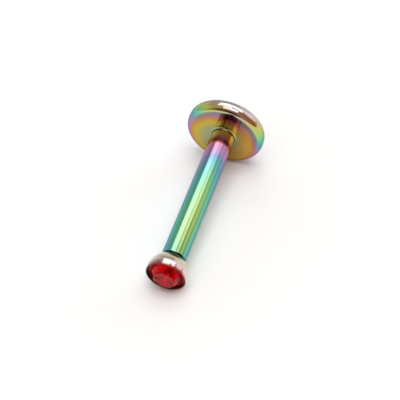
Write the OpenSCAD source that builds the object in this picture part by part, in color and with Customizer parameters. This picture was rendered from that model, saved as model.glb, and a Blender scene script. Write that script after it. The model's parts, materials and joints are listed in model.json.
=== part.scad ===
// Labret stud for a lip piercing: a straight post with a flat disc back, and a
// small cup with a round cut stone on its other end.
// The stud lies on a flat surface as it comes to rest by itself. The rims of the
// disc and of the cup both touch the surface z = 0, so the post slopes down
// towards the stone. The stone points to -Y and the disc to +Y.
// Each piece is drawn upright about its own axis, with the disc's inner face at
// z = 0 and the stone up, and is then laid down by at_rest(). All sizes are in mm.

/* [Post] */
// Diameter of the post, 16 gauge
post_d = 1.2; // [0.8:0.1:2]
// Free length of the post, from the disc's inner face to its other end
post_l = 8; // [5:0.5:16]
// Radius of the fillet where the post meets the disc
root_r = 0.08; // [0.03:0.01:0.2]
// Radius of the round edge at the post's free end
end_r = 0.1; // [0.02:0.01:0.15]

/* [Disc back] */
// Diameter of the disc
disc_d = 4; // [3:0.1:6]
// Thickness of the disc
disc_t = 0.8; // [0.7:0.05:1.4]
// Radius of the round edge on the disc's inner side
disc_inner_r = 0.26; // [0.1:0.01:0.3]
// Radius of the round edge on the disc's outer side
disc_outer_r = 0.32; // [0.1:0.01:0.35]

/* [Cup] */
// Outer diameter of the cup
cup_d = 2; // [1.9:0.05:4]
// Length of the cup's straight band, from the round part to the top of the lip
band_l = 0.245; // [0.2:0.005:0.6]
// Diameter of the cup's flat seat on the post's end
neck_d = 1.24; // [1.1:0.02:1.4]
// Gap between the post's end and the cup's seat
seat_gap = 0.03; // [0.01:0.01:0.1]
// Width of the thin lip, which is round on top
lip_w = 0.07; // [0.05:0.01:0.1]
// Depth of the well round the stone, from the lip's top to the stone's ledge
well_l = 0.17; // [0.12:0.01:0.24]

/* [Hidden pin] */
// Diameter of the cup's pin
pin_d = 0.6; // [0.4:0.05:0.7]
// Length of the pin inside the post
pin_l = 2; // [1:0.25:4]
// Clearance around the pin
pin_gap = 0.02; // [0.01:0.01:0.04]
// Free space past the pin's end
pin_end_gap = 0.2; // [0.05:0.05:0.5]

/* [Stone] */
// Diameter of the stone at its girdle
stone_d = 1.58; // [1.2:0.02:1.66]
// Diameter of the stone's flat table, over its corners
table_d = 1.04; // [0.6:0.02:1.1]
// Height of the stone's crown, from the girdle to the table
crown_h = 0.34; // [0.15:0.01:0.4]
// Height of the girdle's upright wall
girdle_h = 0.04; // [0.02:0.01:0.06]
// Depth of the stone's pavilion, from the girdle to its point
pavilion_h = 0.58; // [0.4:0.01:0.62]
// Clearance under the stone, where it is glued to its ledge
stone_gap = 0.02; // [0.015:0.005:0.03]

/* [Hidden] */
// Main facets round the stone, which has twice as many corners on its girdle
MAINS = 8;
// Where the star facets end, as a share of the way from table corner to girdle
STAR_SHARE = 0.42;
// Where the lower halves end, as a share of the way from girdle to the point
LOWER_SHARE = 0.72;
// Sides of a full circle
$fn = 96;
// Small overrun of a cutter past the face that it opens
CUT = 0.5;
// How deep the pin's root runs into the cup's floor, so that both are one metal
PIN_ROOT = 0.05;

post_r = post_d / 2;
disc_r = disc_d / 2;
cup_r = cup_d / 2;
neck_r = neck_d / 2;
lip_r = lip_w / 2;
stone_r = stone_d / 2;
table_r = table_d / 2;

// Heights along the post, from the disc's inner face
seat_z = post_l + seat_gap;
cup_ball_z = seat_z + sqrt(cup_r * cup_r - neck_r * neck_r);
lip_z = cup_ball_z + band_l;
ledge_z = lip_z - well_l;
girdle_low_z = ledge_z + stone_gap;
girdle_top_z = girdle_low_z + girdle_h;
table_z = girdle_top_z + crown_h;
point_z = girdle_low_z - pavilion_h;

// Half the angle between two main facets
half_step = 180 / MAINS;
// Radius and height of the ring where star, main and upper facets meet. The
// height follows the plane of the main facet, so that facet is flat.
star_r = table_r + STAR_SHARE * (stone_r - table_r);
star_z = girdle_top_z + crown_h * (stone_r - star_r * cos(half_step))
    / (stone_r - table_r);
// The same for the ring where the lower halves meet the pavilion's main facets
lower_r = stone_r * (1 - LOWER_SHARE);
lower_z = girdle_low_z - pavilion_h * (stone_r - lower_r * cos(half_step)) / stone_r;

// The two round edges that touch the surface, as the centre of each edge's arc:
// [height along the post, distance from the axis, radius of the edge]
disc_edge = [-disc_inner_r, disc_r - disc_inner_r, disc_inner_r];
cup_edge = [lip_z - lip_r, cup_r - lip_r, lip_r];

// Slope of the post at rest. An edge reaches along * sin(slope) + across *
// cos(slope) + radius below the axis' own origin, and both edges reach as low.
edge_run = cup_edge[0] - disc_edge[0];
edge_drop = disc_edge[1] - cup_edge[1];
rest_slope = atan2(edge_drop, edge_run)
    + asin((disc_edge[2] - cup_edge[2]) / norm([edge_run, edge_drop]));
rest_lift = disc_edge[0] * sin(rest_slope) + disc_edge[1] * cos(rest_slope)
    + disc_edge[2];

// Ends of the stud along Y once it is laid down, before it is centred
back_y = (disc_t - disc_outer_r) * cos(rest_slope)
    + (disc_r - disc_outer_r) * sin(rest_slope) + disc_outer_r;
lip_reach = cup_edge[0] * cos(rest_slope) + cup_edge[1] * sin(rest_slope)
    + cup_edge[2];
table_reach = table_z * cos(rest_slope) + table_r * sin(rest_slope);
front_y = -max(lip_reach, table_reach);
rest_shift = -(back_y + front_y) / 2;

// Lays an upright piece down on the surface, centred over the origin
module at_rest() {
    translate([0, rest_shift, rest_lift])
        rotate([90 + rest_slope, 0, 0])
            children();
}

// A rectangle from radius r0 to r1 and from height z0 to z1, for a turned profile
module band(r0, r1, z0, z1) {
    translate([r0, z0])
        square([r1 - r0, z1 - z0]);
}

// Half section of the disc, with a different round edge on each side
module disc_section() {
    band(0, disc_r - disc_outer_r, -disc_t, -disc_inner_r);
    band(0, disc_r, -disc_t + disc_outer_r, -disc_inner_r);
    band(0, disc_r - disc_inner_r, -disc_t + disc_outer_r, 0);
    translate([disc_r - disc_inner_r, -disc_inner_r])
        circle(disc_inner_r);
    translate([disc_r - disc_outer_r, -disc_t + disc_outer_r])
        circle(disc_outer_r);
}

// Half section of the post, with its root fillet and its round end edge
module post_section() {
    band(0, post_r, -disc_inner_r, post_l - end_r);
    band(0, post_r - end_r, -disc_inner_r, post_l);
    translate([post_r - end_r, post_l - end_r])
        circle(end_r);
    difference() {
        band(0, post_r + root_r, -disc_inner_r, root_r);
        translate([post_r + root_r, root_r])
            circle(root_r);
    }
}

// The post and its disc back, one piece of metal, with the pin's hole in its end
module labret_post() {
    color("mediumseagreen")
        at_rest()
            rotate_extrude()
                difference() {
                    union() {
                        disc_section();
                        post_section();
                    }
                    band(0, pin_d / 2 + pin_gap, post_l - pin_l - pin_end_gap,
                        post_l + CUT);
                }
}

// Half section of the cup as a full body: a ball below, a short band and the lip
module cup_section() {
    intersection() {
        translate([0, cup_ball_z])
            circle(cup_r);
        band(0, cup_r, seat_z, cup_ball_z);
    }
    band(0, cup_r, cup_ball_z, lip_z - lip_r);
    translate([cup_r - lip_r, lip_z - lip_r])
        circle(lip_r);
}

// Half section of the pocket: a cone that follows the stone's pavilion, the flat
// ledge under its girdle and the well's upright wall
module pocket_section() {
    polygon([
        [0, point_z - stone_gap],
        [lower_r, lower_z - stone_gap],
        [stone_r, ledge_z],
        [cup_r - lip_w, ledge_z],
        [cup_r - lip_w, lip_z + CUT],
        [0, lip_z + CUT]
    ]);
}

// The cup that holds the stone, with a plain pin for the hidden screw thread
module gem_setting() {
    color("mistyrose")
        at_rest()
            rotate_extrude() {
                difference() {
                    cup_section();
                    pocket_section();
                }
                band(0, pin_d / 2, post_l - pin_l, seat_z + PIN_ROOT);
            }
}

// A ring of n points at radius r and height z, turned by a part of one step
function ring(n, r, z, turn = 0) =
    [for (i = [0:n - 1]) [
        r * cos(360 * (i + turn) / n),
        r * sin(360 * (i + turn) / n),
        z
    ]];

// The stone: a round brilliant cut with table, stars, mains and halves
module gem_stone() {
    corners = 2 * MAINS;
    // First index of each ring in the list of points
    table_i = 0;
    star_i = MAINS;
    top_i = 2 * MAINS;
    low_i = top_i + corners;
    lower_i = low_i + corners;
    point_i = lower_i + MAINS;
    points = concat(
        ring(MAINS, table_r, table_z),
        ring(MAINS, star_r, star_z, 0.5),
        ring(corners, stone_r, girdle_top_z),
        ring(corners, stone_r, girdle_low_z),
        ring(MAINS, lower_r, lower_z, 0.5),
        [[0, 0, point_z]]
    );
    table = [[for (i = [MAINS - 1:-1:0]) table_i + i]];
    stars = [for (i = [0:MAINS - 1])
        [table_i + i, table_i + (i + 1) % MAINS, star_i + i]];
    mains = [for (i = [0:MAINS - 1])
        [table_i + i, star_i + i, top_i + 2 * i, star_i + (i + MAINS - 1) % MAINS]];
    upper_halves = [for (i = [0:MAINS - 1]) each [
        [star_i + i, top_i + 2 * i + 1, top_i + 2 * i],
        [star_i + i, top_i + (2 * i + 2) % corners, top_i + 2 * i + 1]
    ]];
    girdle = [for (i = [0:corners - 1])
        [top_i + i, top_i + (i + 1) % corners, low_i + (i + 1) % corners, low_i + i]];
    lower_halves = [for (i = [0:MAINS - 1]) each [
        [low_i + 2 * i, low_i + 2 * i + 1, lower_i + i],
        [low_i + 2 * i + 1, low_i + (2 * i + 2) % corners, lower_i + i]
    ]];
    pavilion_mains = [for (i = [0:MAINS - 1])
        [point_i, lower_i + (i + MAINS - 1) % MAINS, low_i + 2 * i, lower_i + i]];
    color("crimson")
        at_rest()
            polyhedron(points, concat(table, stars, mains, upper_halves, girdle,
                lower_halves, pavilion_mains), convexity = 2);
}

labret_post();
gem_setting();
gem_stone();
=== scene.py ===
# %% [markdown]
# # A rainbow labret stud, dressed for its picture
# The stud is a straight steel post with a flat round back at one end and a small
# cup with a red stone at the other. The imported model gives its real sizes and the
# way it lies. This lesson makes the fine pieces, their finishes and the studio.

import json
import math

import bmesh
import bpy
from mathutils import Matrix, Vector


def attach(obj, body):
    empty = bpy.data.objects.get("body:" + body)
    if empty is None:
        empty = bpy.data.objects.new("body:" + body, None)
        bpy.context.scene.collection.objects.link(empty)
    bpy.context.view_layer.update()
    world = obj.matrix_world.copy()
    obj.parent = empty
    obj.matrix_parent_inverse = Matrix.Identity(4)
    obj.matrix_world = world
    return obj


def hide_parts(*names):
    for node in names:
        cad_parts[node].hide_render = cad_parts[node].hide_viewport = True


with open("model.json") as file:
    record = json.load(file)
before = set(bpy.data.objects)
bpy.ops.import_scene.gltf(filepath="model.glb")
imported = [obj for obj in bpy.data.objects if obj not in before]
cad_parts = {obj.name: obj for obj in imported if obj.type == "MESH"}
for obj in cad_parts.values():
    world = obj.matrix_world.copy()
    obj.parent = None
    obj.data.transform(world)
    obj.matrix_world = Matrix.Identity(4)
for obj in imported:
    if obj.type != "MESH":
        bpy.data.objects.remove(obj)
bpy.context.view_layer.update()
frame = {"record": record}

# %% [markdown]
# ## Where the stud lies
# Every piece is turned about the post, so it is easiest to make each one upright
# and in millimetres, with the inner face of the disc at height 0 and the stone up.
# The record's mount on the disc's back says where that upright frame lies in the
# scene: one matrix then lays each finished piece down.

# %% The upright frame of the stud
MM = 0.001
DISC_T = 0.8
mounts = {mount["name"]: mount for mount in frame["record"]["mounts"]}
TO_STONE = -Vector(mounts["disc_back"]["axis"])
FACE = Vector(mounts["disc_back"]["pos_m"]) + TO_STONE * DISC_T * MM
SLOPE = math.atan2(-TO_STONE.z, -TO_STONE.y)
TURN = math.radians(90) + SLOPE
LAY_DOWN = Matrix.Translation(FACE) @ Matrix.Rotation(TURN, 4, "X") @ Matrix.Scale(MM, 4)
print("slope of the post", round(math.degrees(SLOPE), 3), "degrees")

# %% [markdown]
# ## Camera
# The picture is taken from the stone's side, half from above and a little from the
# right, with a long lens from about 80 mm away. The camera comes first, because
# every finish is judged through it.

# %% Camera
LENS_MM = 144
SENSOR_MM = 36
NEAREST_SEEN = 5 * MM
VIEW_DISTANCE = 80.385 * MM
VIEW_TURN = math.radians(18.153)
VIEW_DOWN = math.radians(45.822)
LOOK_AT = Vector((-0.413, 1.602, -0.273)) * MM

camera = bpy.data.objects.new("camera", bpy.data.cameras.new("camera"))
bpy.context.scene.collection.objects.link(camera)
bpy.context.scene.camera = camera
camera.data.lens = LENS_MM
camera.data.sensor_width = SENSOR_MM
camera.data.clip_start = NEAREST_SEEN
camera.rotation_euler = (math.radians(90) - VIEW_DOWN, 0, VIEW_TURN)
camera.location = LOOK_AT + camera.rotation_euler.to_matrix() @ Vector((0, 0, VIEW_DISTANCE))
print("camera at", [round(c / MM, 2) for c in camera.location], "mm")

# %% [markdown]
# ## Nodes with less typing
# Materials, the world and the groups are all node trees. Written out in full, each
# node takes several lines, and the idea of a finish gets lost among them. Small
# helpers add a node with its settings, and feed its inputs with a plain value or
# with another node's output.

# %% Node helpers
def feed(tree, socket, source):
    """Feeds one input with a plain value or with another node's output."""
    if isinstance(source, bpy.types.NodeSocket):
        tree.links.new(source, socket)
    else:
        socket.default_value = source


def add(tree, kind, inputs=(), **settings):
    """Adds a node, sets it up and feeds its inputs, given by name or number."""
    node = tree.nodes.new(kind)
    for name, value in settings.items():
        setattr(node, name, value)
    for key, source in dict(inputs).items():
        feed(tree, node.inputs[key], source)
    return node


def maths(tree, operation, *sources, clamp=False):
    """One sum of a Math node, as an output socket."""
    node = add(tree, "ShaderNodeMath", enumerate(sources), operation=operation, use_clamp=clamp)
    return node.outputs[0]


# %% [markdown]
# ## Steps and blends
# A finish is mostly made of shares from 0 to 1: how far a spot lies in the worn
# ring, on the left side, or near an edge. A soft step up or down gives one such
# share, and where several have to hold at once, their product does. A blend then
# lays one number or colour over another by that share.

# %% Steps and blends
def rise(tree, value, low, high):
    """A soft step from 0 at low to 1 at high."""
    node = add(tree, "ShaderNodeMapRange", {0: value, 1: low, 2: high},
               interpolation_type="SMOOTHSTEP")
    return node.outputs[0]


def fall(tree, value, low, high, start=1.0):
    """A soft step down by 1 from start, between low and high, that stops at 0."""
    return maths(tree, "SUBTRACT", start, rise(tree, value, low, high), clamp=True)


def product(tree, first, *others):
    """Several shares multiplied, for a finish that shows only where all hold."""
    for other in others:
        first = maths(tree, "MULTIPLY", first, other)
    return first


def blend(tree, share, low, high):
    """Mixes two numbers, by a share from 0 to 1."""
    node = add(tree, "ShaderNodeMix", {0: share, 2: low, 3: high}, data_type="FLOAT")
    return node.outputs[0]


def blend_colour(tree, share, low, high):
    """Mixes two colours, by a share from 0 to 1."""
    node = add(tree, "ShaderNodeMix", {0: share, 6: low, 7: high}, data_type="RGBA")
    return node.outputs[2]


# %% [markdown]
# ## Curves and ramps
# Where a finish changes in more than one step, a curve through a few points gives
# its course over the piece. A ramp turns such a number into a colour. Many soft
# steps could do the same, but a list of points is easier to read and to change.

# %% Curves and ramps
def curve(tree, value, low, high, points):
    """A smooth curve through points, for a value that runs from low to high."""
    span = high - low
    share = maths(tree, "DIVIDE", maths(tree, "SUBTRACT", value, low), span, clamp=True)
    node = add(tree, "ShaderNodeFloatCurve", {"Value": share})
    marks = node.mapping.curves[0].points
    while len(marks) < len(points):
        marks.new(0.5, 0.5)
    for mark, (place, level) in zip(marks, points):
        mark.location = ((place - low) / span, level)
    node.mapping.update()
    return node.outputs[0]


def ramp(tree, value, stops):
    """A colour ramp, with stops as (place, colour)."""
    node = add(tree, "ShaderNodeValToRGB", {"Fac": value})
    first, last = node.color_ramp.elements
    first.position, first.color = stops[0][0], (*stops[0][1], 1)
    last.position, last.color = stops[-1][0], (*stops[-1][1], 1)
    for place, colour in stops[1:-1]:
        node.color_ramp.elements.new(place).color = (*colour, 1)
    return node.outputs["Color"]


# %% [markdown]
# ## White table
# The stud lies on smooth white card that runs on past the picture's edges. One
# flat square is enough, because the camera is close and sees no edge of it. The
# card is dull and a touch blue, so it takes a soft shadow and stays cooler than
# the metal. It isn't part of the stud.

# %% White table
TABLE_SIDE = 4.0
CARD_WHITE = (0.935, 0.955, 0.975, 1)
CARD_ROUGHNESS = 0.7

table = bmesh.new()
bmesh.ops.create_grid(table, x_segments=1, y_segments=1, size=TABLE_SIDE / 2)
table_mesh = bpy.data.meshes.new("white_table")
table.to_mesh(table_mesh)
table.free()
white_table = bpy.data.objects.new("white_table", table_mesh)
bpy.context.scene.collection.objects.link(white_table)

paper = bpy.data.materials.new("white_paper")
paper.use_nodes = True
paper_shader = paper.node_tree.nodes["Principled BSDF"]
paper_shader.inputs["Base Color"].default_value = CARD_WHITE
paper_shader.inputs["Roughness"].default_value = CARD_ROUGHNESS
table_mesh.materials.append(paper)
print("table", TABLE_SIDE, "m wide")

# %% [markdown]
# ## Soft lamps
# Polished metal shows little of its own: it mirrors the room. The white bands on
# the post, the rim and the cup are mirror images of soft lamps, and the thin dark
# lines beside them are the gaps between the lamps. So three flat lamps hang
# overhead with narrow gaps, where the metal mirrors them. Two more fill the
# shadows on the table, and the metal doesn't mirror those.

# %% Soft lamps
LAMP_HEIGHT = 0.8


def soft_light(name, middle, size, brightness, turn=0, mirrored=True):
    """A flat lamp. Its middle and size are shares of the height that it hangs at."""
    lamp = bpy.data.lights.new(name, "AREA")
    lamp.shape = "RECTANGLE"
    lamp.size = size[0] * LAMP_HEIGHT
    lamp.size_y = size[1] * LAMP_HEIGHT
    lamp.energy = brightness * math.pi * lamp.size * lamp.size_y
    hung = bpy.data.objects.new(name, lamp)
    hung.location = (middle[0] * LAMP_HEIGHT, middle[1] * LAMP_HEIGHT, LAMP_HEIGHT)
    hung.rotation_euler = (0, 0, math.radians(turn))
    hung.visible_camera = False
    hung.visible_glossy = mirrored
    bpy.context.scene.collection.objects.link(hung)
    print(name, round(lamp.energy, 2), "W")


soft_light("light_overhead", (0.12, -0.07), (0.76, 0.68), 1.5)
soft_light("light_behind", (-0.235, 0.61), (0.74, 0.38), 1.7, turn=-8)
soft_light("light_behind_right", (0.45, 0.66), (0.58, 0.34), 1.2)
soft_light("light_fill", (0.12, -0.07), (0.76, 0.68), 2.4, mirrored=False)
soft_light("light_front_fill", (-0.20, -0.95), (1.0, 0.6), 1.6, mirrored=False)

# %% [markdown]
# ## Room
# The sides of the metal mirror the walls of the room. Modelled walls would do, but
# it is simpler to paint the world itself: a grey all round, with soft round
# patches of light and shade laid over it, each in its own direction. The walls
# behind the stud and at its left are pale, the one at its right is brown, and the
# front is dim. Past the table the camera sees plain white.

# %% Room patches
ROOM_GREY = (0.50, 0.49, 0.48, 1)
BACKDROP_WHITE = (1, 1, 1, 1)
# Azimuth and height of a patch's middle, where it starts to fade and where it ends,
# all in degrees, and its colour. Later patches lie over earlier ones.
ROOM_PATCHES = {
    "pale behind": (-5, 0, 15, 40, (0.85, 0.85, 0.84)),
    "pale behind left": (-50, -5, 20, 34, (0.75, 0.74, 0.73)),
    "pale left": (-95, 12, 26, 36, (0.70, 0.69, 0.68)),
    "brown right": (100, 30, 32, 50, (0.34, 0.20, 0.11)),
    "white behind right": (38, 20, 20, 26, (0.95, 0.93, 0.91)),
    "dim front": (182, 28, 28, 48, (0.32, 0.27, 0.23)),
    "dark front": (175, 20, 13, 21, (0.03, 0.028, 0.022)),
    "dark front left": (200, 24, 7, 16, (0.05, 0.04, 0.025)),
}

# %% Room
room = bpy.data.worlds.new("room")
bpy.context.scene.world = room
room.use_nodes = True
room_tree = room.node_tree
room_tree.nodes.clear()
look = add(room_tree, "ShaderNodeTexCoord").outputs["Generated"]


def toward(azimuth, height):
    """A direction, turned from +Y towards +X, and raised, in degrees."""
    turned, raised = math.radians(azimuth), math.radians(height)
    return (math.cos(raised) * math.sin(turned), math.cos(raised) * math.cos(turned),
            math.sin(raised))


def patch(under, azimuth, height, inner, outer, colour):
    """Lays a soft round patch of light or shade over the room, sizes in degrees."""
    nearness = add(room_tree, "ShaderNodeVectorMath", {0: look, 1: toward(azimuth, height)},
                   operation="DOT_PRODUCT").outputs["Value"]
    share = rise(room_tree, nearness, math.cos(math.radians(outer)),
                 math.cos(math.radians(inner)))
    return blend_colour(room_tree, share, under, (*colour, 1))


room_light = ROOM_GREY
for placed in ROOM_PATCHES.values():
    room_light = patch(room_light, *placed)
seen = add(room_tree, "ShaderNodeLightPath").outputs["Is Camera Ray"]
backdrop = blend_colour(room_tree, seen, room_light, BACKDROP_WHITE)
glow = add(room_tree, "ShaderNodeBackground", {"Color": backdrop, "Strength": 1.0})
add(room_tree, "ShaderNodeOutputWorld", {"Surface": glow.outputs[0]})
bpy.context.scene.view_settings.view_transform = "Standard"
print("room patches", sorted(ROOM_PATCHES))

# %% [markdown]
# ## Laying a piece down
# A piece made upright has to end up in its place in the scene. Its object could be
# turned and moved there, but patterns read the object's own coordinates, so the
# place goes into the mesh and the object stays at the origin. The Weighted Normal
# modifier keeps flat faces flat in the mirror images, right up to round edges.

# %% Finished piece
SHARP_FROM = math.radians(35)


def finished_piece(name, bm, smooth):
    """Lays an upright millimetre mesh down in the scene as a piece of the stud."""
    bmesh.ops.transform(bm, matrix=LAY_DOWN, verts=bm.verts[:])
    mesh = bpy.data.meshes.new(name)
    bm.to_mesh(mesh)
    bm.free()
    piece = bpy.data.objects.new(name, mesh)
    bpy.context.scene.collection.objects.link(piece)
    if smooth:
        mesh.shade_smooth()
        mesh.set_sharp_from_angle(angle=SHARP_FROM)
        piece.modifiers.new("even_reflections", "WEIGHTED_NORMAL").keep_sharp = True
    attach(piece, "root")
    triangles = sum(len(face.vertices) - 2 for face in mesh.polygons)
    print(name, len(mesh.vertices), "points", triangles, "triangles")
    return piece


# %% [markdown]
# ## Turned metal
# The post and the cup are turned on a lathe. A cylinder could be scaled ring by
# ring, but it is closer to the lathe to draw half of the outline and spin it about
# the axis. The outline starts from a few corner points. A vertex bevel rounds a
# corner as a form tool would, and a short spin of one point draws the ball's arc.

# %% Lathe
SIDES = 160
ROUND_STEPS = 14
# In mm: points closer than these are one point, on the outline and where it closes
SLIVER = 2e-4
SAME_SPOT = 1e-5


class Section:
    """Half of a turned piece's outline, drawn point by point in millimetres."""

    def __init__(self, radius, height):
        self.bm = bmesh.new()
        self.tip = self.bm.verts.new((radius, 0, height))
        self.corners = []

    def line(self, radius, height, rounded=0):
        """Draws on to a corner. Rounded is how far from it the rounding starts."""
        vert = self.bm.verts.new((radius, 0, height))
        self.bm.edges.new((self.tip, vert))
        self.tip = vert
        if rounded:
            self.corners.append((vert, rounded))
        return self

    def arc(self, centre_height, degrees, steps):
        """Draws on along an arc about a point of the axis."""
        spun = bmesh.ops.spin(self.bm, geom=[self.tip], cent=(0, 0, centre_height),
                              axis=(0, -1, 0), angle=math.radians(degrees), steps=steps,
                              use_merge=False, use_duplicate=False)
        self.tip = [v for v in spun["geom_last"] if isinstance(v, bmesh.types.BMVert)][0]
        return self

    def turned(self, name):
        """Rounds the corners, spins the section and lays the piece down."""
        bm = self.bm
        for vert, radius in self.corners:
            bmesh.ops.bevel(bm, geom=[vert], offset=radius, offset_type="OFFSET",
                            segments=ROUND_STEPS, profile=0.5, affect="VERTICES", material=-1)
        bmesh.ops.remove_doubles(bm, verts=bm.verts[:], dist=SLIVER)
        bmesh.ops.spin(bm, geom=bm.verts[:] + bm.edges[:], cent=(0, 0, 0), axis=(0, 0, 1),
                       angle=math.tau, steps=SIDES, use_merge=True, use_duplicate=False)
        bmesh.ops.remove_doubles(bm, verts=bm.verts[:], dist=SAME_SPOT)
        bmesh.ops.recalc_face_normals(bm, faces=bm.faces[:])
        return finished_piece(name, bm, smooth=True)


# %% [markdown]
# ## Post and disc back
# On the real stud the disc and the post are one piece of steel, so they are one
# outline here: up the disc's rim, in over its face, through a small fillet and
# along the post. The rim swells by a hair in its middle, as a polished rim does,
# and that swell shapes the bands in it. The free end is bored for the top's pin.

# %% Post and disc back
POST_R = 0.6
POST_L = 8.0
ROOT_R = 0.1
END_R = 0.1
DISC_R = 2.0
DISC_INNER_R = 0.26
DISC_OUTER_R = 0.30
SWELL = 0.04
SWELL_Z = -0.39
SWELL_R = 0.11
BORE_R = 0.32
BORE_END = 5.8

post = Section(0, -DISC_T)
post.line(DISC_R - SWELL, -DISC_T, DISC_OUTER_R).line(DISC_R, SWELL_Z, SWELL_R)
post.line(DISC_R - SWELL, 0, DISC_INNER_R)
post.line(POST_R, 0, ROOT_R).line(POST_R, POST_L, END_R)
post.line(BORE_R, POST_L).line(BORE_R, BORE_END).line(0, BORE_END)
polished_post = post.turned("polished_post")
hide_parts("labret_post")

# %% [markdown]
# ## Cup
# The top is a small ball of steel with a flat seat, opened on its far side into a
# shallow well. A ledge in the well carries the stone and a thin round lip stands
# round it, with a narrow dark groove between. Under the ledge a pocket follows the
# stone's pointed underside, so the sizes of that underside come first. The pin
# goes into the post.

# %% Sizes of the stone's underside
STONE_R = 0.79
STONE_GAP = 0.02
PAVILION_H = 0.58
LOWER_SHARE = 0.72
MAINS = 8
HALF_STEP = math.pi / MAINS
LOWER_R = STONE_R * (1 - LOWER_SHARE)
LOWER_DROP = PAVILION_H * (STONE_R - LOWER_R * math.cos(HALF_STEP)) / STONE_R
print("lower halves end", round(LOWER_DROP, 3), "mm under the girdle")

# %% Cup
CUP_R = 1.0
NECK_R = 0.62
SEAT_Z = 8.03
BAND_L = 0.245
LIP_W = 0.07
WELL_L = 0.17
PIN_R = 0.3
PIN_END = 6.0
BALL_STEPS = 30

BALL_Z = SEAT_Z + math.sqrt(CUP_R ** 2 - NECK_R ** 2)
LIP_Z = BALL_Z + BAND_L
LEDGE_Z = LIP_Z - WELL_L
GIRDLE_LOW_Z = LEDGE_Z + STONE_GAP
LOWER_Z = GIRDLE_LOW_Z - LOWER_DROP
POINT_Z = GIRDLE_LOW_Z - PAVILION_H

cup = Section(0, PIN_END)
cup.line(PIN_R, PIN_END).line(PIN_R, SEAT_Z).line(NECK_R, SEAT_Z)
cup.arc(BALL_Z, math.degrees(math.acos(NECK_R / CUP_R)), BALL_STEPS)
cup.line(CUP_R, LIP_Z, LIP_W / 2).line(CUP_R - LIP_W, LIP_Z, LIP_W / 2)
cup.line(CUP_R - LIP_W, LEDGE_Z).line(STONE_R, LEDGE_Z)
cup.line(LOWER_R, LOWER_Z - STONE_GAP).line(0, POINT_Z - STONE_GAP)
stone_cup = cup.turned("stone_cup")
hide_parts("gem_setting")

# %% [markdown]
# ## Stone
# A lapidary starts from a round rough and grinds one flat facet after another. The
# same is done here: a sixteen-sided drum is cut by planes, each through three
# corners of the finished stone, and each cut is closed again. Cutting keeps every
# facet truly flat, and flat facets are what makes a stone flash.

# %% Grinding
def corner(count, index, radius, height):
    """One corner of a ring of the stone, where index counts steps of the ring."""
    angle = math.tau * index / count
    return Vector((radius * math.cos(angle), radius * math.sin(angle), height))


def grind(rough, a, b, c):
    """Grinds away what lies outside the plane through three corners."""
    normal = (b - a).cross(c - a).normalized()
    inside = Vector((0, 0, GIRDLE_LOW_Z))
    if normal.dot(inside - a) > 0:
        normal = -normal
    geometry = rough.verts[:] + rough.edges[:] + rough.faces[:]
    cut = bmesh.ops.bisect_plane(rough, geom=geometry, dist=1e-6, plane_co=a,
                                 plane_no=normal, clear_outer=True)
    border = [e for e in cut["geom_cut"] if isinstance(e, bmesh.types.BMEdge)]
    bmesh.ops.holes_fill(rough, edges=[e for e in border if e.is_boundary], sides=0)


# %% [markdown]
# ## Rough and facets
# The drum is as wide as the girdle, and a corner of it is turned to angle 0, where
# the first main facet goes. The table is cut first. Then eight rounds cut the
# main, the star and the two halves above the girdle, and the main and the two
# halves below it.

# %% Rough drum
GIRDLE_H = 0.04
CROWN_H = 0.34
TABLE_R = 0.52
STAR_SHARE = 0.42
DRUM_H = 2
GIRDLE_TOP_Z = GIRDLE_LOW_Z + GIRDLE_H
TABLE_Z = GIRDLE_TOP_Z + CROWN_H
STAR_R = TABLE_R + STAR_SHARE * (STONE_R - TABLE_R)
STAR_Z = GIRDLE_TOP_Z + CROWN_H * (STONE_R - STAR_R * math.cos(HALF_STEP)) / (STONE_R - TABLE_R)

stone = bmesh.new()
drum = bmesh.ops.create_cone(stone, cap_ends=True, segments=2 * MAINS, radius1=STONE_R,
                             radius2=STONE_R, depth=DRUM_H)
drum_corner = drum["verts"][0].co
turn_back = Matrix.Rotation(-math.atan2(drum_corner.y, drum_corner.x), 3, "Z")
bmesh.ops.rotate(stone, verts=stone.verts[:], matrix=turn_back)
bmesh.ops.translate(stone, verts=stone.verts[:], vec=(0, 0, GIRDLE_LOW_Z))
print("drum", len(stone.faces), "faces")

# %% Facets
point = Vector((0, 0, POINT_Z))
grind(stone, *[corner(3, i, TABLE_R, TABLE_Z) for i in range(3)])
for i in range(MAINS):
    table_a, table_b = [corner(MAINS, i + k, TABLE_R, TABLE_Z) for k in range(2)]
    star = corner(MAINS, i + 0.5, STAR_R, STAR_Z)
    lower = corner(MAINS, i + 0.5, LOWER_R, LOWER_Z)
    top = [corner(2 * MAINS, 2 * i + k, STONE_R, GIRDLE_TOP_Z) for k in range(3)]
    low = [corner(2 * MAINS, 2 * i + k, STONE_R, GIRDLE_LOW_Z) for k in range(3)]
    grind(stone, table_a, star, top[0])
    grind(stone, table_a, table_b, star)
    grind(stone, point, lower, low[0])
    for k in range(2):
        grind(stone, star, top[k], top[k + 1])
        grind(stone, lower, low[k], low[k + 1])
bmesh.ops.remove_doubles(stone, verts=stone.verts[:], dist=SAME_SPOT)
bmesh.ops.recalc_face_normals(stone, faces=stone.faces[:])
print("facets", len(stone.faces))
red_stone = finished_piece("red_stone", stone, smooth=False)
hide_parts("gem_stone")

# %% [markdown]
# ## Places on the stud
# Both metals change along the post and around it. One node group turns the object
# coordinates into the stud's own: the height along the post, the distance from the
# axis, and how far a spot faces the upper side and the right side, from -1 to 1.
# Every finish is then painted by place, and stays put when the stud is turned.

# %% Place group
UPPER_SIDE = math.radians(68)
RIGHT_SIDE = math.radians(-15.5)
NEAREST_THE_AXIS = 0.01

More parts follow.
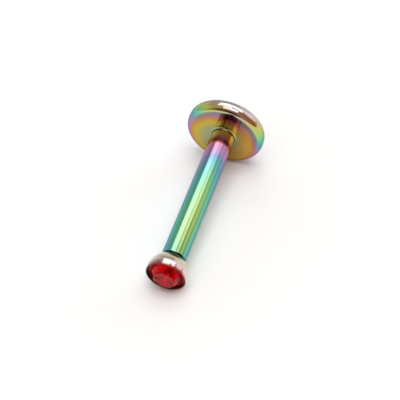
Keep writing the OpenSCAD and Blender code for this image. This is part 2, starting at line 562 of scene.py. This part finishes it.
place_group = bpy.data.node_groups.new("stud_place", "ShaderNodeTree")
for socket in ("Along", "Radius", "Upper side", "Right side"):
    place_group.interface.new_socket(socket, in_out="OUTPUT", socket_type="NodeSocketFloat")
spot = add(place_group, "ShaderNodeTexCoord").outputs["Object"]
upright = add(place_group, "ShaderNodeMapping",
              {"Vector": spot, "Location": FACE, "Rotation": (TURN, 0, 0),
               "Scale": (MM, MM, MM)}, vector_type="TEXTURE").outputs[0]
x, y, height = add(place_group, "ShaderNodeSeparateXYZ", {0: upright}).outputs
from_axis = maths(place_group, "SQRT", maths(
    place_group, "ADD", maths(place_group, "POWER", x, 2), maths(place_group, "POWER", y, 2)))
divisor = maths(place_group, "MAXIMUM", from_axis, NEAREST_THE_AXIS)
unit_x = maths(place_group, "DIVIDE", x, divisor)
unit_y = maths(place_group, "DIVIDE", y, divisor)


def facing(angle):
    """How far a spot faces a direction around the post, from -1 to 1."""
    return maths(place_group, "ADD", maths(place_group, "MULTIPLY", unit_x, math.cos(angle)),
                 maths(place_group, "MULTIPLY", unit_y, math.sin(angle)))


add(place_group, "NodeGroupOutput",
    {"Along": height, "Radius": from_axis, "Upper side": facing(UPPER_SIDE),
     "Right side": facing(RIGHT_SIDE)})
print("place group", [item.name for item in place_group.interface.items_tree])


def stud_place(tree):
    """The outputs of the place group, in a material."""
    return add(tree, "ShaderNodeGroup", node_tree=place_group).outputs


# %% [markdown]
# ## Rainbow steel
# The colours come from a clear film a few hundred nanometres thick: as it grows
# thicker, steel turns from sage to gold, pink, violet, blue, teal, green and lime,
# and then rose. Painting each colour by hand would mix up that order. So one ramp
# holds it, and the material works out how thick the film is at each spot.

# %% Film colours
FILM_COLOURS = [
    (0.00, (0.36, 0.38, 0.22)),
    (0.08, (0.42, 0.38, 0.14)),
    (0.16, (0.56, 0.43, 0.08)),
    (0.23, (0.58, 0.36, 0.05)),
    (0.29, (0.58, 0.27, 0.08)),
    (0.35, (0.60, 0.22, 0.20)),
    (0.40, (0.51, 0.23, 0.39)),
    (0.45, (0.43, 0.26, 0.49)),
    (0.50, (0.22, 0.30, 0.46)),
    (0.56, (0.14, 0.40, 0.46)),
    (0.62, (0.14, 0.51, 0.38)),
    (0.67, (0.22, 0.56, 0.28)),
    (0.71, (0.29, 0.57, 0.24)),
    (0.76, (0.39, 0.60, 0.19)),
    (0.83, (0.55, 0.56, 0.12)),
    (0.89, (0.66, 0.50, 0.24)),
    (0.94, (0.70, 0.46, 0.38)),
    (1.00, (0.72, 0.64, 0.62)),
]

rainbow = bpy.data.materials.new("rainbow_steel")
rainbow.use_nodes = True
film = rainbow.node_tree
where = stud_place(film)
along, radius = where["Along"], where["Radius"]
upper, right = where["Upper side"], where["Right side"]
left = maths(film, "MULTIPLY", right, -1)
aside = maths(film, "ABSOLUTE", right)
depth = maths(film, "MULTIPLY", along, -1)
print("film colours", len(FILM_COLOURS))

# %% [markdown]
# ## Film on the post
# The film is laid on in a chamber and comes out uneven, because each spot faces
# the source in its own way. From the disc on it grows thicker fast, then slowly,
# and it thins a little at the free end. Around the post it is thickest along a
# line just right of the top. It thins towards both flanks, and least by the disc.

# %% Film on the post
# Pairs: a place, as mm from the disc or as how far it faces right, and the film
POST_FILM = [
    (0, 0.05), (0.3, 0.14), (0.5, 0.25), (0.65, 0.34), (0.8, 0.37), (1.1, 0.41),
    (1.4, 0.45), (1.7, 0.50), (2.0, 0.56), (2.6, 0.62), (3.2, 0.68), (4.0, 0.73),
    (5.0, 0.76), (6.6, 0.77), (7.4, 0.745), (8.0, 0.71),
]
FLANK_LOSS = [
    (-1, 0.21), (-0.85, 0.17), (-0.65, 0.13), (-0.45, 0.095), (-0.25, 0.065),
    (-0.05, 0.035), (0.15, 0.01), (0.3, 0), (0.45, 0.025), (0.55, 0.055), (0.75, 0.12),
    (1, 0.21),
]

on_post = curve(film, along, 0, POST_L, POST_FILM)
flank_loss = curve(film, right, -1, 1, FLANK_LOSS)
flank_share = blend(film, rise(film, along, 0.8, 4.5), 0.25, 1.0)
on_post = maths(film, "SUBTRACT", on_post, product(film, flank_loss, flank_share))
print("film on the post, at its thickest", max(level for place, level in POST_FILM))

# %% [markdown]
# ## Film on the disc
# On the disc's inner face the colours lie in rings that aren't centred: they are
# pushed down and a little to the left. So the distance from the axis is first
# bent by how far a spot faces up and right, and a curve then gives its film. On
# the back the rings are plain, because the bend would pinch them in its middle.

# %% Film on the disc's faces
FACE_FILM = [
    (0, 0.25), (0.6, 0.0), (0.85, 0.05), (1.1, 0.12), (1.3, 0.17), (1.45, 0.23),
    (1.58, 0.29), (1.7, 0.36), (1.85, 0.42), (2.0, 0.46),
]

push_up = maths(film, "MULTIPLY_ADD", upper, 0.05, 0.40)
ring = maths(film, "MULTIPLY_ADD", upper, push_up, radius)
push_right = product(film, rise(film, right, -0.2, 0.7),
                     fall(film, radius, 1.05, 1.6, start=0.2))
ring = maths(film, "ADD", ring, push_right)
ring = blend(film, rise(film, depth, 0.3, 0.5), ring, maths(film, "MAXIMUM", radius, POST_R))
on_face = curve(film, ring, 0, DISC_R, FACE_FILM)
print("film on the disc's faces, at its thickest", max(level for place, level in FACE_FILM))

# %% [markdown]
# ## Film on the rim
# Round the rim the film runs through most of its colours, from the lowest spot to
# the highest, and it is thicker towards the back and at the left. Soft steps
# over the distance from the axis and over the depth then join the face, the rim,
# the back and the post, so that no colour ends in a hard line.

# %% Film on the rim
RIM_FILM = [
    (-1, 0.28), (-0.5, 0.35), (-0.1, 0.40), (0.1, 0.47), (0.3, 0.56), (0.5, 0.67),
    (0.65, 0.77), (0.78, 0.83), (0.88, 0.87), (0.95, 0.92), (1, 0.96),
]
BACK_GAIN = 0.13
LEFT_GAIN = 0.05

on_rim = curve(film, upper, -1, 1, RIM_FILM)
on_rim = maths(film, "ADD", on_rim, product(film, rise(film, depth, 0.1, 0.6), BACK_GAIN))
on_rim = maths(film, "ADD", on_rim, product(film, rise(film, left, 0.35, 0.75), LEFT_GAIN))

thickness = blend(film, rise(film, radius, 1.69, 1.80), on_face, on_rim)
thickness = blend(film, rise(film, depth, 0.66, 0.8), thickness, on_face)
thickness = blend(film, rise(film, along, 0.01, 0.08), thickness, on_post)
print("film on the rim, at its thickest", max(level for place, level in RIM_FILM))

# %% [markdown]
# ## Marks of turning and drawing
# Even a mirror finish keeps faint marks of how it was made: rings where the metal
# was turned, and streaks along the post where its wire was drawn. A noise of one
# coordinate gives such lines, because it doesn't change along them. One noise
# reads the distance from the axis plus the length, the other the place around.

# %% Marks of turning and drawing
TURNING_SCALE = 22
TURNING_DEPTH = 0.035
DRAWING_SCALE = 9
DRAWING_DEPTH = 0.09
DRAWING_DRIFT = 0.012


def fine_lines(tree, value, scale, detail):
    """Fine lines, weaker and stronger around 0, that follow places of equal value."""
    noise = add(tree, "ShaderNodeTexNoise", {"W": value, "Scale": scale, "Detail": detail},
                noise_dimensions="1D")
    return maths(tree, "SUBTRACT", noise.outputs["Fac"], 0.5)


turned_lines = fine_lines(film, maths(film, "ADD", radius, along), TURNING_SCALE, 3)
thickness = maths(film, "MULTIPLY_ADD", turned_lines, TURNING_DEPTH, thickness)
around = maths(film, "MULTIPLY_ADD", along, DRAWING_DRIFT, right)
drawn_lines = product(film, fine_lines(film, around, DRAWING_SCALE, 2),
                      rise(film, along, 1.2, 2.4), DRAWING_DEPTH)
thickness = maths(film, "ADD", thickness, drawn_lines)
colour = ramp(film, thickness, FILM_COLOURS)
print("film with its marks", len(film.nodes), "nodes")

# %% [markdown]
# ## Bare root, painted shade and a painted highlight on the post
# The root has hardly any film and shows bare, pale gold metal. Beyond it a ring of
# the film's crimson, gold at the flanks, is painted darker as painted shade, where the
# post lies close to the disc. The fillet is painted darker on both sides as painted
# shade. A paler band along the top of the post is a painted highlight, and its end
# edge is painted nearly black, as painted shade and a painted dark reflection at the
# joint. Each of these is a share of place, and its own colour is laid over the film
# by that share.

# %% Bare root, painted shade and a painted highlight on the post
BARE_GOLD = (0.92, 0.85, 0.70, 1)
# Painted shade: the film's crimson darkened in a ring near the disc, gold at the flanks
CRIMSON_SHADE = (0.27, 0.06, 0.06, 1)
CRIMSON_SHADE_ASIDE = (0.58, 0.33, 0.11, 1)
# Painted shade in the fillet, on both sides of the root
FILLET_SHADE = (0.18, 0.17, 0.07, 1)
# Painted highlight: a paler band along the top of the post, and its share
TOP_HIGHLIGHT = (0.80, 0.68, 0.70, 1)
TOP_HIGHLIGHT_SHARE = 0.13
# Painted shade and a painted dark reflection on the post's end edge at the joint
END_EDGE_SHADE = (0.01, 0.035, 0.015, 1)

bare_root = product(film, rise(film, along, 0.08, 0.2), fall(film, along, 0.35, 0.78))
colour = blend_colour(film, bare_root, colour, BARE_GOLD)
# The crimson ring is painted shade where the post lies close to the disc
crimson_shade = blend_colour(film, rise(film, aside, 0.5, 0.8), CRIMSON_SHADE, CRIMSON_SHADE_ASIDE)
crimson_shade_ring = product(film, rise(film, along, 0.64, 0.76), fall(film, along, 0.88, 0.97))
colour = blend_colour(film, crimson_shade_ring, colour, crimson_shade)
# Painted shade: the fillet is darkened on both sides of the post
fillet_shade = product(film, rise(film, along, 0.03, 0.08), fall(film, along, 0.10, 0.18),
                    rise(film, aside, 0.25, 0.5))
colour = blend_colour(film, fillet_shade, colour, FILLET_SHADE)
# Painted highlight: the top of the post is made paler where the lamps shine on it
painted_top_highlight = product(film, rise(film, right, -0.45, -0.30), fall(film, right, 0.0, 0.4),
                     rise(film, along, 1.4, 2.6), TOP_HIGHLIGHT_SHARE)
colour = blend_colour(film, painted_top_highlight, colour, TOP_HIGHLIGHT)
# The end edge is painted nearly black as painted shade of the joint
colour = blend_colour(film, rise(film, along, 7.90, 7.95), colour, END_EDGE_SHADE)
print("film with the post's bare and worn places", len(film.nodes), "nodes")

# %% [markdown]
# ## Copper and a brown ring on the disc's face
# The right half of the disc's face has a copper cast, and near the edge a darker
# brown ring runs round its upper part. Both fade out before the rim. Neither is a
# step in the order of the film's colours, so they are laid over it as colours of
# their own, and the film under them stays as it is.

# %% Copper and a brown ring on the disc's face
COPPER = (0.66, 0.33, 0.085, 1)
RING_BROWN = (0.24, 0.18, 0.09, 1)

copper_side = product(film, rise(film, right, 0.0, 0.8), rise(film, radius, 0.75, 1.0),
                      fall(film, radius, 1.45, 1.65, start=0.55))
colour = blend_colour(film, copper_side, colour, COPPER)
brown_ring = product(film, rise(film, radius, 1.30, 1.60),
                    fall(film, radius, 1.70, 1.80, start=0.6), rise(film, upper, -0.2, 0.5))
colour = blend_colour(film, brown_ring, colour, RING_BROWN)
print("film with copper and the worn ring", len(film.nodes), "nodes")

# %% [markdown]
# ## Painted shade on the rim
# The upper part of the rim's far edge and a short piece of the rim at the left are
# painted grey, as painted shade. A few shares limit each of the two: the depth, the
# upper side, the distance from the axis and the right or left side.

# %% Painted shade on the rim
# Painted shade on the upper part of the rim's far edge
FAR_EDGE_SHADE_GREY = (0.30, 0.28, 0.27, 1)
# Painted shade on a short piece of the rim at the left, and its share
LEFT_RIM_SHADE_GREY = (0.28, 0.28, 0.29, 1)
LEFT_RIM_SHADE_SHARE = 0.45

# Painted shade: the rim's far upper edge is darkened to grey, less at the right
far_edge_shade_share = maths(film, "MULTIPLY_ADD", rise(film, right, 0.2, 0.6), -0.35, 0.5)
far_edge_shade = product(film, rise(film, depth, 0.42, 0.50), rise(film, upper, 0.1, 0.5),
                   rise(film, radius, 1.60, 1.80), far_edge_shade_share)
colour = blend_colour(film, far_edge_shade, colour, FAR_EDGE_SHADE_GREY)
# Painted shade: the rim at the left is darkened to grey
left_rim_shade = product(film, rise(film, left, 0.90, 0.99), rise(film, radius, 1.75, 1.85),
                   rise(film, upper, -0.2, 0.1), LEFT_RIM_SHADE_SHARE)
colour = blend_colour(film, left_rim_shade, colour, LEFT_RIM_SHADE_GREY)
print("film with the rim's wear", len(film.nodes), "nodes")

# %% [markdown]
# ## Polish of the rainbow steel
# The disc is polished brighter than the post, whose mirror images are softer. The
# turning marks roughen the gloss a little too, so the mirror images break up along
# the same lines as the colour does.

# %% Polish of the rainbow steel
DISC_ROUGHNESS = 0.06
POST_ROUGHNESS = 0.15
MARKS_ROUGHNESS = 0.06
EDGE_TINT = (0.50, 0.55, 0.60, 1)

polish = blend(film, rise(film, along, 0.0, 0.3), DISC_ROUGHNESS, POST_ROUGHNESS)
polish = maths(film, "MULTIPLY_ADD", turned_lines, MARKS_ROUGHNESS, polish)
steel = film.nodes["Principled BSDF"]
feed(film, steel.inputs["Base Color"], colour)
feed(film, steel.inputs["Roughness"], polish)
steel.inputs["Metallic"].default_value = 1.0
steel.inputs["Specular Tint"].default_value = EDGE_TINT
polished_post.data.materials.append(rainbow)
print("rainbow_steel", len(film.nodes), "nodes")

# %% [markdown]
# ## Cup steel
# The cup has the same polish with hardly any film, so it is silver with a breath
# of rose. Towards the lip it is painted dark red, as painted shade. Its shoulder is
# painted dark green beside the post's end, as a painted reflection of the post and
# painted shade of the joint. By the lip it is painted darker at the left and
# lighter at the right, as painted shade and painted light. A ramp over the height
# gives the first, and shares of place lay the others over it.

# %% Colours of the cup
# Painted reflection of the post and painted shade of the joint, on the cup's shoulder
SHOULDER_REFLECTION_GREEN = (0.045, 0.10, 0.05, 1)
# Painted shade by the lip at the cup's left, and its share
LEFT_LIP_SHADE = (0.22, 0.13, 0.13, 1)
LEFT_LIP_SHADE_SHARE = 0.62
# Painted light by the lip at the cup's right, and its share
RIGHT_LIP_LIGHT = (0.82, 0.70, 0.68, 1)
RIGHT_LIP_LIGHT_SHARE = 0.8
# The cup's own silver and rose, and in the last two stops the lip's dark red painted shade
CUP_COLOURS_AND_LIP_SHADE = [
    (0.00, (0.72, 0.72, 0.62)),
    (0.55, (0.60, 0.56, 0.40)),
    (0.76, (0.78, 0.62, 0.62)),
    (0.90, (0.80, 0.50, 0.52)),
    (0.95, (0.50, 0.20, 0.20)),
    (1.00, (0.30, 0.10, 0.10)),
]

cup_steel = bpy.data.materials.new("cup_steel")
cup_steel.use_nodes = True
cup_tree = cup_steel.node_tree
where = stud_place(cup_tree)
cup_along, cup_radius = where["Along"], where["Radius"]
cup_upper, cup_right = where["Upper side"], where["Right side"]
cup_left = maths(cup_tree, "MULTIPLY", cup_right, -1)

up_the_cup = curve(cup_tree, cup_along, SEAT_Z, LIP_Z, [(SEAT_Z, 0), (BALL_Z, 0.8), (LIP_Z, 1)])
tint = ramp(cup_tree, up_the_cup, CUP_COLOURS_AND_LIP_SHADE)
over_the_seat = maths(cup_tree, "SUBTRACT", cup_along, SEAT_Z)
shoulder = maths(cup_tree, "SUBTRACT", maths(cup_tree, "MULTIPLY", cup_upper, 0.6),
                 over_the_seat)
# The shoulder beside the post's end is painted dark green: painted reflection and shade
tint = blend_colour(cup_tree, rise(cup_tree, shoulder, 0.19, 0.31), tint, SHOULDER_REFLECTION_GREEN)
by_the_lip = rise(cup_tree, cup_along, BALL_Z - 0.10, BALL_Z + 0.08)
# Painted shade: the cup is darker by the lip at the left
left_lip_shade = product(cup_tree, by_the_lip, rise(cup_tree, cup_left, 0.30, 0.42), LEFT_LIP_SHADE_SHARE)
tint = blend_colour(cup_tree, left_lip_shade, tint, LEFT_LIP_SHADE)
# Painted light: the cup is lighter by the lip at the right
right_lip_light = product(cup_tree, by_the_lip, rise(cup_tree, cup_right, 0.6, 1.0), RIGHT_LIP_LIGHT_SHARE)
tint = blend_colour(cup_tree, right_lip_light, tint, RIGHT_LIP_LIGHT)
print("cup colours", len(CUP_COLOURS_AND_LIP_SHADE), "and 3 laid over")

# %% [markdown]
# ## Groove and pocket
# The groove round the stone is dull, because no polish reaches it. Its colour is
# painted: a red glow next to the stone, as painted light from the stone, going to
# brown painted shade towards the lip, with the red reaching further out at the
# right. The pocket under the stone is bright, as a foil would be, and sends the
# light back up through the red.

# %% Groove and pocket
# Painted light and shade in the groove: a red glow by the stone, brown shade by the lip
GROOVE_RED_GLOW = (0.40, 0.03, 0.03, 1)
GROOVE_SHADE_BROWN = (0.16, 0.07, 0.05, 1)
POCKET_SILVER = (0.95, 0.93, 0.93, 1)
CUP_ROUGHNESS = 0.07
POCKET_ROUGHNESS = 0.12
GROOVE_ROUGHNESS = 0.4

in_pocket = product(cup_tree, rise(cup_tree, cup_along, POINT_Z - 0.05, POINT_Z - 0.03),
                    maths(cup_tree, "LESS_THAN", cup_radius, STONE_R + 0.01))
in_groove = product(cup_tree, maths(cup_tree, "GREATER_THAN", cup_along, LEDGE_Z - 0.01),
                    fall(cup_tree, cup_radius, CUP_R - LIP_W / 2, CUP_R))
tint = blend_colour(cup_tree, in_pocket, tint, POCKET_SILVER)
shaded_from = maths(cup_tree, "MULTIPLY_ADD", rise(cup_tree, cup_right, -0.2, 0.5), -0.05,
                    cup_radius)
# The groove's colour is painted glow by the stone and painted shade by the lip
groove_glow_and_shade = blend_colour(cup_tree, rise(cup_tree, shaded_from, 0.84, 0.90), GROOVE_RED_GLOW,
                      GROOVE_SHADE_BROWN)
tint = blend_colour(cup_tree, in_groove, tint, groove_glow_and_shade)
polish = blend(cup_tree, in_pocket, CUP_ROUGHNESS, POCKET_ROUGHNESS)
polish = blend(cup_tree, in_groove, polish, GROOVE_ROUGHNESS)

cup_shader = cup_tree.nodes["Principled BSDF"]
feed(cup_tree, cup_shader.inputs["Base Color"], tint)
feed(cup_tree, cup_shader.inputs["Roughness"], polish)
cup_shader.inputs["Metallic"].default_value = 1.0
stone_cup.data.materials.append(cup_steel)
print("cup_steel", len(cup_tree.nodes), "nodes")

# %% [markdown]
# ## Red stone
# Glass or spinel of a deep red, clear, with sharp polished facets. Its colour is
# in the body, so light that has gone in and out again is red. In a stone this
# small the gloss of the facets looks red as well, so the gloss is tinted too. A
# little of the light is kept from passing, and that gives the body its red glow.

# %% Red stone
DEEP_RED = (0.85, 0.006, 0.012, 1)
GLOSS_RED = (1.0, 0.08, 0.10, 1)
CLEAR_SHARE = 0.88
POLISHED_ROUGHNESS = 0.02
GLASS_IOR = 1.54

red_glass = bpy.data.materials.new("red_glass")
red_glass.use_nodes = True
glass = red_glass.node_tree.nodes["Principled BSDF"]
glass.inputs["Base Color"].default_value = DEEP_RED
glass.inputs["Transmission Weight"].default_value = CLEAR_SHARE
glass.inputs["Roughness"].default_value = POLISHED_ROUGHNESS
glass.inputs["IOR"].default_value = GLASS_IOR
glass.inputs["Specular Tint"].default_value = GLOSS_RED
red_stone.data.materials.append(red_glass)
print("red_glass lets", CLEAR_SHARE, "of the light in")
